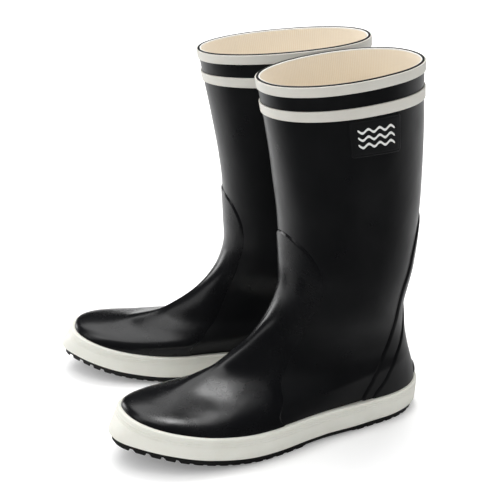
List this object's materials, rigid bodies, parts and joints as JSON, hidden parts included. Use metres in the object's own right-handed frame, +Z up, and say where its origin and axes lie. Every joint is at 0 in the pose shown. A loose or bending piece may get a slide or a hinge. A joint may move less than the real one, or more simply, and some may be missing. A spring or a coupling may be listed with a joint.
{
  "type": "boot pair",
  "caption": "Pair of knee-low pull-on rubber deck boots: dark satin upper, pale rim bands and foxing, grooved flat sole, knitted lining and a plain patch on the outer side.",
  "frame": {"origin": "middle of the pair's bounding box on the floor, between the two boots", "axes": "+X from the heels towards the toes, +Y from the right boot towards the left boot, +Z up; the treads stand on Z = 0"},
  "size_m": [0.2518, 0.22, 0.2634],
  "materials": {
    "black_rubber": "satin",
    "badge_rubber": "satin",
    "print_film": "matte",
    "white_rubber": "satin",
    "foxing_rubber": "satin",
    "leg_knit": "matte",
    "foot_knit": "matte",
    "stiffener_sheet": "matte",
    "fibre_board": "matte",
    "footbed_felt": "matte",
    "filler_rubber": "matte",
    "sole_rubber": "matte"
  },
  "bodies": {
    "left_boot": {"left_leg": "black_rubber", "left_inner_vamp": "black_rubber", "left_vamp": "black_rubber", "left_heel_guard": "black_rubber", "left_heel_cap": "black_rubber", "left_kick_off_spur": "black_rubber", "left_top_trim": "white_rubber", "left_collar_stripe": "white_rubber", "left_leg_lining": "leg_knit", "left_foot_lining": "foot_knit", "left_toe_puff": "stiffener_sheet", "left_instep_stiffener": "stiffener_sheet", "left_heel_stiffener": "stiffener_sheet", "left_insole_board": "fibre_board", "left_footbed": "footbed_felt", "left_bottom_filler": "filler_rubber", "left_outsole": "sole_rubber", "left_foxing": "foxing_rubber", "left_side_badge": "badge_rubber", "left_badge_print": "print_film"},
    "right_boot": {"right_leg": "black_rubber", "right_inner_vamp": "black_rubber", "right_vamp": "black_rubber", "right_heel_guard": "black_rubber", "right_heel_cap": "black_rubber", "right_kick_off_spur": "black_rubber", "right_top_trim": "white_rubber", "right_collar_stripe": "white_rubber", "right_leg_lining": "leg_knit", "right_foot_lining": "foot_knit", "right_toe_puff": "stiffener_sheet", "right_instep_stiffener": "stiffener_sheet", "right_heel_stiffener": "stiffener_sheet", "right_insole_board": "fibre_board", "right_footbed": "footbed_felt", "right_bottom_filler": "filler_rubber", "right_outsole": "sole_rubber", "right_foxing": "foxing_rubber", "right_side_badge": "badge_rubber", "right_badge_print": "print_film"}
  },
  "joints": [
    {"name": "right_boot_lift", "type": "slide", "parent": "left_boot", "child": "right_boot", "axis": [0, 0, 1], "range_m": [0, 0.3]}
  ]
}
